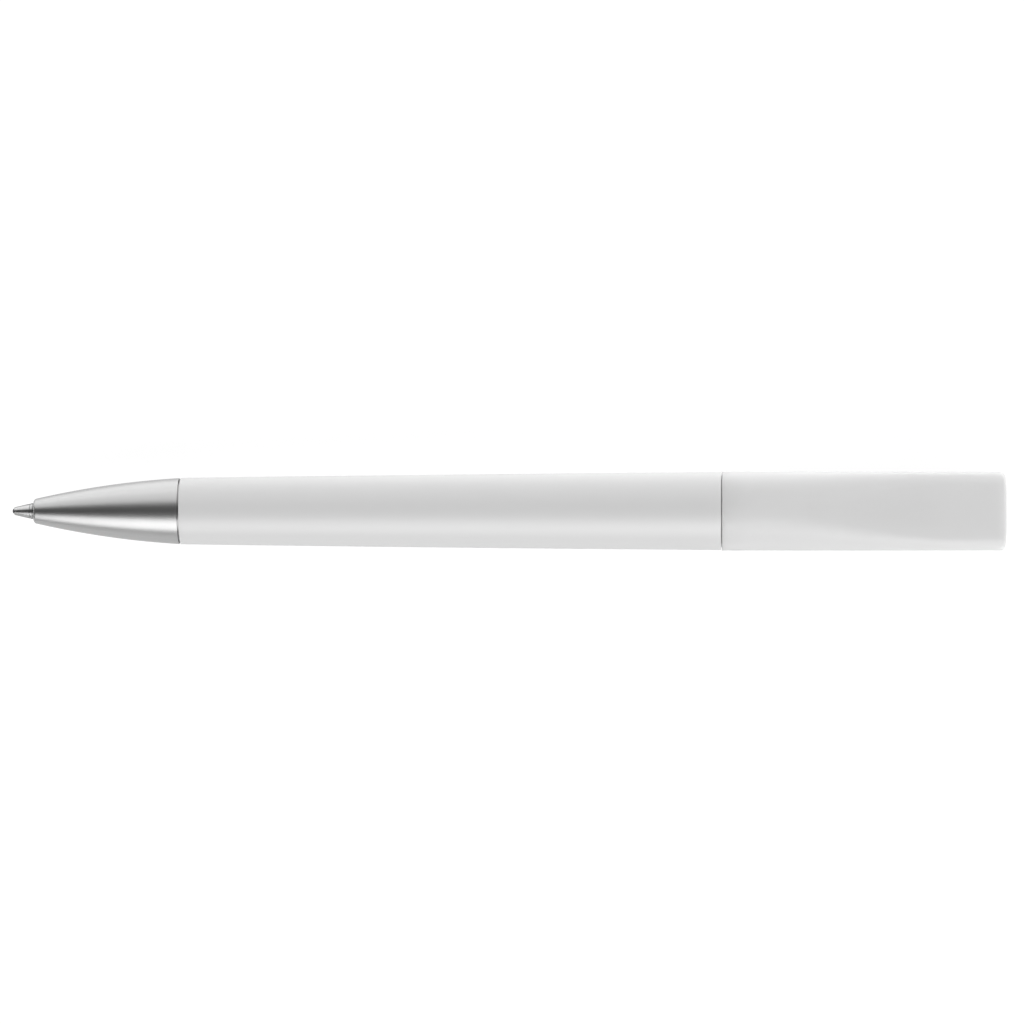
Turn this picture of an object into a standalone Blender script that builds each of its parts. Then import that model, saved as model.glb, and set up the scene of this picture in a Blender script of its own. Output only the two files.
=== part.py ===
"""Twist ballpoint pen, built round a standard refill. Metres, +Z up.

The pen lies along X with its nose to -X and its clip down, on z = 0.
Stations along the pen are counted from the writing point; radii are from the pen's axis.
"""

import math

import bmesh
import bpy
from mathutils import Matrix, Vector

# Overall stations: the barrel's length follows from the refill's, as on the real pen
REFILL_LENGTH = 0.098
TIP_REACH = 0.003
NOSE_LENGTH = 0.0206
SEAM_GAP = 0.0002
SEAM_SETBACK = 0.0019
TOP_LENGTH = 0.0399

# Nose and barrel: their outsides follow from the bores and these walls
NOSE_FRONT_WALL = 0.00043
NOSE_INSET = 0.000035
NOSE_BULGE = 0.00044
NOSE_EDGE = 0.00042
SPIGOT_WALL = 0.0006
SPIGOT_LENGTH = 0.0075
BARREL_FRONT_WALL = 0.00094
BARREL_REAR_WALL = 0.00099
BARREL_BULGE = 0.00006
SEAM_EDGE = 0.00012

# Turning top
TOP_PROUD = 0.00006
COLLAR_LENGTH = 0.0029
WEDGE_EASE = 0.014
WEDGE_END_HEIGHT = 0.0021
BACK_FLATTEN_LENGTH = 0.030
FRONT_FLATTEN_LENGTH = 0.015
BACK_EDGE = 0.00175
FRONT_EDGE = 0.00035
END_EDGE = 0.00055
LEAST_EDGE = 0.0001
TOP_WALL = 0.0013
CORE_SETBACK = 0.010
CORE_END_HALF_WIDTH = 0.0024

# Clip on the far side of the top
CLIP_GAP = 0.0012
CLIP_THICKNESS = 0.00145
CLIP_WIDTH = 0.0106
CLIP_SETBACK = 0.0046
CLIP_CORNER = 0.002
CLIP_EDGE = 0.0003
CLIP_FOOT_LENGTH = 0.006
CLIP_FOOT_FILLET = 0.0007
CLIP_NUB_GAP = 0.00025
CLIP_NUB_LENGTH = 0.003
CLIP_NUB_WIDTH = 0.005
CLIP_NUB_SIDE = 0.0005
CLIP_NUB_SETBACK = 0.0004

# Refill
BALL_DIAMETER = 0.0009
BALL_REACH = 0.00027
BALL_CLEARANCE = 0.00004
TIP_DIAMETER = 0.0023
TIP_RIM_WALL = 0.00013
TIP_CONE_LENGTH = 0.00223
TIP_SHANK_LENGTH = 0.0119
INK_CHANNEL_DIAMETER = 0.0007
NECK_WALL = 0.00035
NECK_LENGTH = 0.0138
NECK_SETBACK = 0.0105
REFILL_BORE_DIAMETER = 0.0016
SHOULDER_LENGTH = 0.0027
SHOULDER_EDGE = 0.0004
REFILL_DIAMETER = 0.0059
REFILL_WALL = 0.0004
REFILL_SPIGOT = 0.004
PLUG_DIAMETER = 0.0042
PLUG_LENGTH = 0.008
PLUG_VENT_DIAMETER = 0.001
INK_LENGTH = 0.044

# Return spring, as it is with the tip out
SPRING_WIRE = 0.0004
SPRING_CLEARANCE = 0.00025
SPRING_TURNS = 8
SPRING_POINTS_PER_TURN = 9
SPRING_SETBACK = 0.001

# Twist mechanism
TRAVEL = 0.006
TWIST = math.pi
ROTOR_WALL = 0.0007
HUB_WALL = 0.0004
HUB_END = 0.0012
SPLINE_HEIGHT = 0.00035
GUIDE_WALL = 0.0006
GUIDE_LIP = 0.0014
SLIDER_SETBACK = 0.0006
SLIDER_END = 0.0012
LUG_SETBACK = 0.0024
LUG_DIAMETER = 0.0012
SLOT_WEB = 0.0007
RETAINER_THICKNESS = 0.001
FRICTION_RING_SECTION = 0.0005

# Clearances
RUNNING = 0.0001
FITTED = 0.00005
END_PLAY = 0.0002
SLOT_CLEARANCE = 0.0002
SPRING_BORE_CLEARANCE = 0.0002
SHOULDER_CLEARANCE = 0.0006

# Facets
OUTER_FACETS = 40
INNER_FACETS = 32
SMALL_FACETS = 24
LUG_FACETS = 16
BALL_FACETS = 16
BALL_RINGS = 10
ARC_STEPS = 8
EDGE_STEPS = 3
FINE_EDGE_STEPS = 2
WEDGE_STEPS = 12
CORE_STEPS = 4
NUB_STEPS = 6
SLOT_STEPS = 20
RING_SIDES = 8
SHARP_ANGLE = math.radians(32)
MERGE = 1e-7

# Stations of the outside
nose_front = TIP_REACH
nose_rear = nose_front + NOSE_LENGTH
barrel_front = nose_rear + SEAM_GAP
barrel_rear = REFILL_LENGTH + SEAM_SETBACK
top_front = barrel_rear + SEAM_GAP
top_end = top_front + TOP_LENGTH
overall_length = top_end
clip_rear = top_end - END_EDGE / 2

# Stations of the refill
ball_centre = BALL_DIAMETER / 2
tip_rim = BALL_REACH
tip_base = tip_rim + TIP_CONE_LENGTH
tip_rear = tip_base + TIP_SHANK_LENGTH
neck_front = NECK_SETBACK
shoulder_front = neck_front + NECK_LENGTH
tube_front = shoulder_front + SHOULDER_LENGTH
tube_rear = REFILL_LENGTH - PLUG_LENGTH
spring_front = neck_front + SPRING_SETBACK

# Stations of the mechanism, counted back from the refill's end
slider_front = tube_rear + SLIDER_SETBACK
slider_floor = REFILL_LENGTH + RUNNING
slider_rear = slider_floor + SLIDER_END
lug_at = slider_front + LUG_SETBACK
slot_half = LUG_DIAMETER / 2 + SLOT_CLEARANCE
rotor_front = lug_at - slot_half - SLOT_WEB
rotor_step = lug_at + TRAVEL + slot_half + SLOT_WEB
retainer_rear = rotor_front - RUNNING
guide_front = retainer_rear - RETAINER_THICKNESS
guide_lip = rotor_step + RUNNING
guide_rear = guide_lip + GUIDE_LIP
socket_front = guide_rear + END_PLAY
hub_floor = slider_rear + TRAVEL + END_PLAY
rotor_rear = hub_floor + HUB_END
socket_rear = rotor_rear + END_PLAY
barrel_step = guide_front - FITTED

# Radii, from the refill outwards
ball_radius = BALL_DIAMETER / 2
ball_seat = ball_radius + BALL_CLEARANCE
tip_radius = TIP_DIAMETER / 2
tip_seat = tip_radius + FITTED
neck_radius = tip_seat + NECK_WALL
spring_radius = neck_radius + SPRING_CLEARANCE + SPRING_WIRE / 2
refill_radius = REFILL_DIAMETER / 2
refill_bore = refill_radius - REFILL_WALL
running_bore = refill_radius + RUNNING
rotor_radius = running_bore + ROTOR_WALL
hub_radius = running_bore + HUB_WALL
guide_bore = rotor_radius + RUNNING
guide_radius = guide_bore + GUIDE_WALL
spigot_radius = running_bore + SPIGOT_WALL
barrel_bore = spigot_radius + RUNNING
barrel_counterbore = guide_radius + FITTED
journal_bore = guide_radius + RUNNING
barrel_front_radius = barrel_bore + BARREL_FRONT_WALL
barrel_rear_radius = barrel_counterbore + BARREL_REAR_WALL
nose_rear_radius = barrel_front_radius - NOSE_INSET
nose_bore = tip_radius + RUNNING
nose_front_radius = nose_bore + NOSE_FRONT_WALL
top_radius = barrel_rear_radius + TOP_PROUD
groove_radius = journal_bore - FITTED - FRICTION_RING_SECTION
axis_height = top_radius + CLIP_GAP + CLIP_THICKNESS

for leftover in list(bpy.data.objects):
    bpy.data.objects.remove(leftover)


def x_at(station):
    return station - overall_length / 2


def finish(name, colour, roughness, metallic=0.0):
    """One Principled material."""
    material = bpy.data.materials.new(name)
    material.use_nodes = True
    shader = material.node_tree.nodes["Principled BSDF"]
    shader.inputs["Base Color"].default_value = (*colour, 1.0)
    shader.inputs["Roughness"].default_value = roughness
    shader.inputs["Metallic"].default_value = metallic
    material.diffuse_color = (*colour, 1.0)
    return material


def offset_of(empty):
    """Where a pivot is, from the pen's own empty on its axis."""
    total = Vector()
    while empty.parent:
        total += empty.location
        empty = empty.parent
    return total


def pivot(name, station, height, parent):
    """An empty on a joint's axis, at a station and a height over the pen's axis."""
    empty = bpy.data.objects.new(name, None)
    bpy.context.collection.objects.link(empty)
    empty.parent = parent
    empty.location = Vector((x_at(station), 0.0, height)) - offset_of(parent)
    return empty


def piece(name, bm, parent, material):
    """A finished object under its pivot, shaded smooth apart from its sharp edges."""
    bmesh.ops.recalc_face_normals(bm, faces=bm.faces)
    bmesh.ops.translate(bm, verts=bm.verts, vec=-offset_of(parent))
    mesh = bpy.data.meshes.new(name)
    bm.to_mesh(mesh)
    bm.free()
    mesh.materials.append(material)
    mesh.shade_smooth()
    mesh.set_sharp_from_angle(angle=SHARP_ANGLE)
    obj = bpy.data.objects.new(name, mesh)
    bpy.context.collection.objects.link(obj)
    obj.parent = parent
    return obj


def cutter(name, bm, parent):
    """A helper that a Boolean uses; it is no part of the pen."""
    tool = piece(name, bm, parent, acetal)
    tool.hide_render = True
    tool.display_type = "WIRE"
    return tool


def combine(obj, tool, operation):
    modifier = obj.modifiers.new(tool.name, "BOOLEAN")
    modifier.operation = operation
    modifier.solver = "EXACT"
    modifier.object = tool


def bulged(start, end, bulge, steps=ARC_STEPS):
    """Points of the circular arc from start to end that stands off its chord by bulge."""
    (s0, r0), (s1, r1) = start, end
    chord = math.hypot(s1 - s0, r1 - r0)
    radius = (chord**2 / 4 + bulge**2) / (2 * bulge)
    along = Vector((s1 - s0, r1 - r0)) / chord
    out = Vector((-along.y, along.x))
    if out.y < 0:
        out = -out
    middle = (Vector(start) + Vector(end)) / 2 - out * (radius - bulge)
    half = math.asin(chord / (2 * radius))
    angles = [half * (2 * k / steps - 1) for k in range(steps + 1)]
    return [tuple(middle + radius * (along * math.sin(a) + out * math.cos(a))) for a in angles]


def rounded(before, corner, after, radius, steps=EDGE_STEPS):
    """Points of the fillet of a corner between two neighbouring points."""
    corner = Vector(corner)
    back = (Vector(before) - corner).normalized()
    ahead = (Vector(after) - corner).normalized()
    half = back.angle(ahead) / 2
    reach = radius / math.tan(half)
    centre = corner + (back + ahead).normalized() * (radius / math.sin(half))
    first = corner + back * reach - centre
    sweep = first.angle_signed(corner + ahead * reach - centre)
    turns = [Matrix.Rotation(-sweep * k / steps, 2) for k in range(steps + 1)]
    return [tuple(centre + turn @ first) for turn in turns]


def turned(profile, facets):
    """The solid that an outline of (station, radius) points sweeps round the pen's axis."""
    bm = bmesh.new()
    verts = [bm.verts.new((x_at(s), 0.0, r)) for s, r in profile]
    edges = [bm.edges.new(pair) for pair in zip(verts, verts[1:])]
    if profile[0][1] > 0:
        edges.append(bm.edges.new((verts[-1], verts[0])))
    full = 2 * math.pi
    bmesh.ops.spin(
        bm, geom=verts + edges, cent=(0, 0, 0), axis=(1, 0, 0), angle=full, steps=facets, use_merge=True
    )
    bmesh.ops.remove_doubles(bm, verts=bm.verts, dist=MERGE)
    return bm


def skinned(rings):
    """A closed solid through rings of equally many points, capped at both ends."""
    bm = bmesh.new()
    loops = [[bm.verts.new(point) for point in ring] for ring in rings]
    for a, b in zip(loops, loops[1:]):
        for k in range(len(a)):
            bm.faces.new((a[k - 1], a[k], b[k], b[k - 1]))
    bm.faces.new(loops[0])
    bm.faces.new(loops[-1])
    bmesh.ops.remove_doubles(bm, verts=bm.verts, dist=MERGE)
    return bm


def corner_angle(k):
    return (k + 0.5) * 2 * math.pi / OUTER_FACETS


def circle_ring(station, radius, splines=0.0):
    """A ring round the axis; splines raises four teeth on it by that much."""
    quarter = OUTER_FACETS // 4
    ring = []
    for k in range(OUTER_FACETS):
        r = radius + (splines if k % quarter in (0, quarter - 1) else 0.0)
        ring.append((x_at(station), r * math.cos(corner_angle(k)), r * math.sin(corner_angle(k))))
    return ring


def box_ring(station, half_width, top, bottom, upper_radius, lower_radius):
    """A rectangle across the pen, with its own corner radius above and below."""
    ring = []
    for k in range(OUTER_FACETS):
        angle = corner_angle(k)
        upper = math.sin(angle) > 0
        radius = upper_radius if upper else lower_radius
        y = math.copysign(half_width - radius, math.cos(angle)) + radius * math.cos(angle)
        z = (top - radius if upper else bottom + radius) + radius * math.sin(angle)
        ring.append((x_at(station), y, z))
    return ring


def eased(t):
    t = min(max(t, 0.0), 1.0)
    return t * t * (3 - 2 * t)


def steps_between(start, end, count):
    return [start + (end - start) * k / count for k in range(count + 1)]


pen = bpy.data.objects.new("pen", None)
bpy.context.collection.objects.link(pen)
pen.location.z = axis_height
twist_axis = pivot("twist_axis", top_front, 0.0, pen)
refill_axis = pivot("refill_axis", REFILL_LENGTH, 0.0, pen)
ball_axis = pivot("ball_axis", ball_centre, 0.0, refill_axis)
clip_hinge = pivot("clip_hinge", clip_rear, -top_radius - FITTED, twist_axis)

satin_white = finish("satin_white_plastic", (0.86, 0.86, 0.86), 0.42)
smooth_white = finish("smooth_white_plastic", (0.88, 0.88, 0.88), 0.28)
satin_metal = finish("satin_metal", (0.75, 0.75, 0.75), 0.28, 1.0)
bright_metal = finish("bright_metal", (0.78, 0.76, 0.72), 0.18, 1.0)
brass = finish("brass", (0.78, 0.60, 0.30), 0.3, 1.0)
carbide = finish("carbide", (0.32, 0.32, 0.34), 0.12, 1.0)
spring_steel = finish("spring_steel", (0.55, 0.55, 0.56), 0.25, 1.0)
acetal = finish("acetal", (0.80, 0.80, 0.77), 0.45)
grey_acetal = finish("grey_acetal", (0.35, 0.36, 0.38), 0.45)
dark_rubber = finish("dark_rubber", (0.03, 0.03, 0.03), 0.7)
blue_ink = finish("blue_ink", (0.02, 0.04, 0.25), 0.15)


def make_nose():
    """Ogive with a stepped bore, and the spigot that screws into the barrel."""
    rear = (nose_rear, nose_rear_radius)
    front = (nose_front, nose_front_radius)
    neck_bore = neck_radius + RUNNING
    spring_bore = spring_radius + SPRING_WIRE / 2 + SPRING_BORE_CLEARANCE
    bore_step = shoulder_front - SHOULDER_CLEARANCE
    ogive = bulged(rear, front, NOSE_BULGE)
    ogive[-1:] = rounded(ogive[-2], front, (nose_front, 0.0), min(NOSE_EDGE, NOSE_FRONT_WALL))
    profile = [
        *ogive,
        (nose_front, nose_bore),
        (neck_front - SLOT_CLEARANCE, nose_bore),
        (neck_front - SLOT_CLEARANCE, neck_bore),
        (spring_front - FITTED, neck_bore),
        (spring_front - FITTED, spring_bore),
        (bore_step, spring_bore),
        (bore_step, running_bore),
        (nose_rear + SPIGOT_LENGTH, running_bore),
        (nose_rear + SPIGOT_LENGTH, spigot_radius),
        (nose_rear, spigot_radius),
    ]
    piece("nose_cone", turned(profile, OUTER_FACETS), pen, satin_metal)


def make_barrel():
    """Bellied tube with a counterbore for the mechanism at its rear."""
    front = (barrel_front, barrel_front_radius)
    rear = (barrel_rear, barrel_rear_radius)
    belly = bulged(front, rear, BARREL_BULGE)
    profile = [
        *rounded((barrel_front, 0.0), front, belly[1], SEAM_EDGE, FINE_EDGE_STEPS),
        *belly[1:-1],
        *rounded(belly[-2], rear, (barrel_rear, 0.0), SEAM_EDGE, FINE_EDGE_STEPS),
        (barrel_rear, barrel_counterbore),
        (barrel_step, barrel_counterbore),
        (barrel_step, barrel_bore),
        (barrel_front, barrel_bore),
    ]
    piece("barrel", turned(profile, OUTER_FACETS), pen, satin_white)


def make_spring():
    """One helix of round wire between the nose's seat and the refill's shoulder."""
    front = spring_front + SPRING_WIRE / 2 + FITTED
    rear = shoulder_front - SPRING_WIRE / 2 - FITTED
    count = SPRING_TURNS * SPRING_POINTS_PER_TURN
    points = []
    for k in range(count + 1):
        angle = 2 * math.pi * k / SPRING_POINTS_PER_TURN
        along = x_at(front + (rear - front) * k / count)
        points.append(Vector((along, spring_radius * math.cos(angle), spring_radius * math.sin(angle))))
    gap = min(
        (a - b).length
        for k, a in enumerate(points)
        for b in points[k + SPRING_POINTS_PER_TURN // 2 :]
    )
    print(f"return_spring: least gap to itself {1000 * (gap - SPRING_WIRE):.2f} mm")
    curve = bpy.data.curves.new("return_spring", "CURVE")
    curve.dimensions = "3D"
    curve.bevel_depth = SPRING_WIRE / 2
    curve.bevel_resolution = 1
    curve.use_fill_caps = True
    spline = curve.splines.new("POLY")
    spline.points.add(count)
    for slot, point in zip(spline.points, points):
        slot.co = (*point, 1.0)
    curve.materials.append(spring_steel)
    obj = bpy.data.objects.new("return_spring", curve)
    bpy.context.collection.objects.link(obj)
    obj.parent = pen


def make_refill():
    """Tube, ferrule, tip, ball, plug and ink of the refill, with the tip out."""
    channel = INK_CHANNEL_DIAMETER / 2
    bore = REFILL_BORE_DIAMETER / 2
    spigot = refill_bore - FITTED
    rim_angle = math.acos((ball_centre - tip_rim) / ball_seat)
    channel_angle = math.pi - math.asin(channel / ball_seat)
    seat = []
    for angle in steps_between(channel_angle, rim_angle, ARC_STEPS):
        seat.append((ball_centre - ball_seat * math.cos(angle), ball_seat * math.sin(angle)))
    tip = [
        (tip_rim, ball_seat * math.sin(rim_angle) + TIP_RIM_WALL),
        (tip_base, tip_radius),
        (tip_rear, tip_radius),
        (tip_rear, channel),
        *seat,
    ]
    piece("refill_tip", turned(tip, SMALL_FACETS), refill_axis, bright_metal)

    shoulder = (shoulder_front, refill_radius)
    seat_floor = tip_rear + RUNNING
    ferrule = [
        (neck_front, tip_seat),
        (neck_front, neck_radius),
        (shoulder_front, neck_radius),
        *rounded((shoulder_front, 0.0), shoulder, (tube_front, refill_radius), SHOULDER_EDGE),
        (tube_front - FITTED, refill_radius),
        (tube_front - FITTED, spigot),
        (tube_front + REFILL_SPIGOT, spigot),
        (tube_front + REFILL_SPIGOT, bore),
        (seat_floor, bore),
        (seat_floor, tip_seat),
    ]
    piece("refill_ferrule", turned(ferrule, SMALL_FACETS), refill_axis, brass)

    tube = [
        (tube_front, refill_bore),
        (tube_front, refill_radius),
        (tube_rear, refill_radius),
        (tube_rear, refill_bore),
    ]
    piece("refill_tube", turned(tube, INNER_FACETS), refill_axis, bright_metal)

    vent = PLUG_VENT_DIAMETER / 2
    plug = [
        (tube_rear - REFILL_SPIGOT, vent),
        (tube_rear - REFILL_SPIGOT, spigot),
        (tube_rear + FITTED, spigot),
        (tube_rear + FITTED, PLUG_DIAMETER / 2),
        (REFILL_LENGTH, PLUG_DIAMETER / 2),
        (REFILL_LENGTH, vent),
    ]
    piece("refill_plug", turned(plug, SMALL_FACETS), refill_axis, grey_acetal)

    ink_front = tube_front + REFILL_SPIGOT + FITTED
    ink_rear = ink_front + INK_LENGTH
    ink = [(ink_front, 0.0), (ink_front, spigot), (ink_rear, spigot), (ink_rear, 0.0)]
    piece("ink", turned(ink, SMALL_FACETS), refill_axis, blue_ink)

    ball = bmesh.new()
    bmesh.ops.create_uvsphere(ball, u_segments=BALL_FACETS, v_segments=BALL_RINGS, radius=ball_radius)
    bmesh.ops.translate(ball, verts=ball.verts, vec=(x_at(ball_centre), 0.0, 0.0))
    piece("writing_ball", ball, ball_axis, carbide)


def make_slider():
    """Cup round the refill's plug, with two lugs that reach through both slots."""
    cup_bore = PLUG_DIAMETER / 2 + RUNNING
    cup_radius = refill_radius
    cup = [
        (slider_floor, 0.0),
        (slider_floor, cup_bore),
        (slider_front, cup_bore),
        (slider_front, cup_radius),
        (slider_rear, cup_radius),
        (slider_rear, 0.0),
    ]
    slider = piece("slider", turned(cup, INNER_FACETS), refill_axis, grey_acetal)
    lug_reach = guide_radius - RUNNING
    lug_root = (cup_bore + cup_radius) / 2
    for side in (-1, 1):
        lug = bmesh.new()
        radius = LUG_DIAMETER / 2
        length = lug_reach - lug_root
        place = Matrix.Translation((x_at(lug_at), side * (lug_root + length / 2), 0.0))
        bmesh.ops.create_cone(
            lug,
            cap_ends=True,
            segments=LUG_FACETS,
            radius1=radius,
            radius2=radius,
            depth=length,
            matrix=place @ Matrix.Rotation(math.pi / 2, 4, "X"),
        )
        combine(slider, cutter(f"lug_{side}", lug, refill_axis), "UNION")


def helical_slot(start):
    """Prism that follows one slot of the rotor, from a lug's place with the tip out."""
    mean = (running_bore + rotor_radius) / 2
    rise = mean * TWIST / TRAVEL
    slant = math.hypot(1.0, rise)
    run_out = slot_half / slant
    low, high = running_bore - SLOT_WEB, rotor_radius + SLOT_WEB
    rings = []
    for along in steps_between(-run_out, TRAVEL + run_out, SLOT_STEPS):
        angle = start - TWIST * along / TRAVEL
        ring = []
        for side, radius in ((-1, low), (-1, high), (1, high), (1, low)):
            station = lug_at + along + side * slot_half * rise / slant
            a = angle + side * slot_half / slant / mean
            ring.append((x_at(station), radius * math.cos(a), radius * math.sin(a)))
        rings.append(ring)
    return skinned(rings)


def make_mechanism():
    """Rotor with helical slots, guide sleeve with straight slots, and the two rings."""
    rings = [
        circle_ring(hub_floor, running_bore),
        circle_ring(rotor_front, running_bore),
        circle_ring(rotor_front, rotor_radius),
        circle_ring(rotor_step, rotor_radius),
        circle_ring(rotor_step, hub_radius),
        circle_ring(socket_front + RUNNING, hub_radius),
        circle_ring(socket_front + RUNNING, hub_radius, SPLINE_HEIGHT),
        circle_ring(rotor_rear, hub_radius, SPLINE_HEIGHT),
    ]
    rotor = piece("cam_rotor", skinned(rings), twist_axis, grey_acetal)
    for name, start in (("slot_near", 0.0), ("slot_far", math.pi)):
        combine(rotor, cutter(name, helical_slot(start), twist_axis), "DIFFERENCE")

    groove_half = FRICTION_RING_SECTION / 2 + FITTED
    groove_at = (guide_lip + guide_rear) / 2
    lip_bore = hub_radius + RUNNING
    sleeve = [
        (guide_front, guide_radius),
        (groove_at - groove_half, guide_radius),
        (groove_at - groove_half, groove_radius - FITTED),
        (groove_at + groove_half, groove_radius - FITTED),
        (groove_at + groove_half, guide_radius),
        (guide_rear, guide_radius),
        (guide_rear, lip_bore),
        (guide_lip, lip_bore),
        (guide_lip, guide_bore),
        (guide_front, guide_bore),
    ]
    guide = piece("guide_sleeve", turned(sleeve, INNER_FACETS), pen, acetal)
    slot = bmesh.new()
    bmesh.ops.create_cube(slot, size=1.0)
    size = (TRAVEL + 2 * slot_half, 4 * guide_radius, 2 * slot_half)
    bmesh.ops.scale(slot, vec=size, verts=slot.verts)
    bmesh.ops.translate(slot, vec=(x_at(lug_at + TRAVEL / 2), 0.0, 0.0), verts=slot.verts)
    combine(guide, cutter("guide_slots", slot, pen), "DIFFERENCE")

    retainer = [
        (guide_front, running_bore),
        (guide_front, guide_bore - FITTED),
        (retainer_rear, guide_bore - FITTED),
        (retainer_rear, running_bore),
    ]
    piece("retaining_ring", turned(retainer, INNER_FACETS), pen, spring_steel)

    section = FRICTION_RING_SECTION / 2
    ring_radius = groove_radius + section
    ring = []
    for k in range(RING_SIDES):
        angle = 2 * math.pi * (k + 0.5) / RING_SIDES
        ring.append((groove_at + section * math.cos(angle), ring_radius + section * math.sin(angle)))
    piece("friction_ring", turned(ring, INNER_FACETS), pen, dark_rubber)


wedge_start = top_front + COLLAR_LENGTH
wedge_drop = 2 * top_radius - WEDGE_END_HEIGHT
wedge_slope = wedge_drop / (top_end - wedge_start - WEDGE_EASE / 2)


def back_height(station):
    """Height of the top's back over the axis: level on the collar, eased into a straight slope."""
    past = station - wedge_start
    if past <= 0:
        return top_radius
    if past < WEDGE_EASE:
        return top_radius - wedge_slope * past**2 / (2 * WEDGE_EASE)
    return top_radius - wedge_slope * (past - WEDGE_EASE / 2)


def top_outline(station, inset=0.0):
    """Cross-section of the top: round at the collar, a flat box with rounded edges at the end."""
    past = station - wedge_start
    front = top_radius + (FRONT_EDGE - top_radius) * eased(past / FRONT_FLATTEN_LENGTH)
    room = back_height(station) + top_radius - front
    back = min(top_radius + (BACK_EDGE - top_radius) * eased(past / BACK_FLATTEN_LENGTH), room)
    return (
        top_radius - inset,
        back_height(station) - inset,
        -top_radius + inset,
        max(back - inset, LEAST_EDGE),
        max(front - inset, LEAST_EDGE),
    )


def make_top():
    """Turning top in one skin: core, splined socket and journal bore inside, wedge outside."""
    core_radius = hub_radius - RUNNING
    core_end = top_end - CORE_SETBACK
    core = []
    for station in steps_between(core_end, socket_rear, CORE_STEPS):
        share = (station - socket_rear) / (core_end - socket_rear)
        half_width = core_radius + (CORE_END_HALF_WIDTH - core_radius) * share
        high = min(core_radius, back_height(station) - TOP_WALL)
        radius = min(half_width, (high + core_radius) / 2)
        core.append(box_ring(station, half_width, high, -core_radius, radius, radius))
    edge = steps_between(0.0, math.pi / 2, EDGE_STEPS)
    collar = []
    for angle in edge:
        inset = SEAM_EDGE * (1 - math.sin(angle))
        collar.append(circle_ring(top_front + SEAM_EDGE * (1 - math.cos(angle)), top_radius - inset))
    wedge_end = top_end - END_EDGE
    body = [box_ring(s, *top_outline(s)) for s in steps_between(wedge_start, wedge_end, WEDGE_STEPS)]
    end = []
    for angle in edge[1:]:
        station = wedge_end + END_EDGE * math.sin(angle)
        end.append(box_ring(station, *top_outline(wedge_end, END_EDGE * (1 - math.cos(angle)))))
    rings = [
        *core,
        circle_ring(socket_rear, hub_radius + FITTED, SPLINE_HEIGHT),
        circle_ring(socket_front, hub_radius + FITTED, SPLINE_HEIGHT),
        circle_ring(socket_front, journal_bore),
        circle_ring(top_front, journal_bore),
        *collar,
        *body,
        *end,
    ]
    piece("top_shell", skinned(rings), twist_axis, smooth_white)


def clip_ring(station, half_width, inner, outer, nub=0.0):
    """Cross-section of the clip with rounded edges; nub raises the middle of its inner face."""
    half_nub = min(CLIP_NUB_WIDTH / 2, half_width - 2 * CLIP_EDGE)
    turns = steps_between(0.0, math.pi / 2, FINE_EDGE_STEPS)
    rounding = [(CLIP_EDGE * (1 - math.cos(a)), CLIP_EDGE * (1 - math.sin(a))) for a in turns]
    right = [(half_width - across, inner - down) for across, down in rounding]
    crest = [(half_nub, inner), (half_nub - CLIP_NUB_SIDE, inner + nub)]
    below = [(half_width - across, outer + up) for across, up in reversed(rounding)]
    half = below + right + crest
    ring = half + [(-y, z) for y, z in reversed(half)]
    return [(x_at(station), y, z) for y, z in ring]


def make_clip():
    """Flat blade on a foot under the end of the top, with a nub near its free end."""
    inner = -top_radius - CLIP_GAP
    outer = inner - CLIP_THICKNESS
    foot_top = -top_radius - 2 * FITTED
    free_end = top_front + CLIP_SETBACK
    nub_front = free_end + CLIP_CORNER + CLIP_NUB_SETBACK
    foot_rear = top_end - END_EDGE
    foot_front = foot_rear - CLIP_FOOT_LENGTH
    half = CLIP_WIDTH / 2
    nub = CLIP_GAP - CLIP_NUB_GAP
    rings = []
    for angle in steps_between(0.0, math.pi / 2, EDGE_STEPS + 1):
        station = free_end + CLIP_CORNER * (1 - math.cos(angle))
        rings.append(clip_ring(station, half - CLIP_CORNER * (1 - math.sin(angle)), inner, outer))
    for share in steps_between(0.0, 1.0, NUB_STEPS):
        station = nub_front + CLIP_NUB_LENGTH * share
        rings.append(clip_ring(station, half, inner, outer, nub * math.sin(math.pi * share)))
    for angle in steps_between(0.0, math.pi / 2, EDGE_STEPS):
        station = foot_front - CLIP_FOOT_FILLET * (1 - math.sin(angle))
        rings.append(clip_ring(station, half, inner + CLIP_FOOT_FILLET * (1 - math.cos(angle)), outer))
    rings.append(clip_ring(foot_front, half, foot_top, outer))
    rings.append(clip_ring(foot_rear, half, foot_top, outer))
    rounding = clip_rear - foot_rear
    rings.append(clip_ring(clip_rear, half - rounding, foot_top - rounding, outer + rounding))
    piece("clip", skinned(rings), clip_hinge, smooth_white)


make_nose()
make_barrel()
make_spring()
make_refill()
make_slider()
make_mechanism()
make_top()
make_clip()
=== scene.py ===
import math

import bmesh
import bpy
from mathutils import Matrix, Vector


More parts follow.
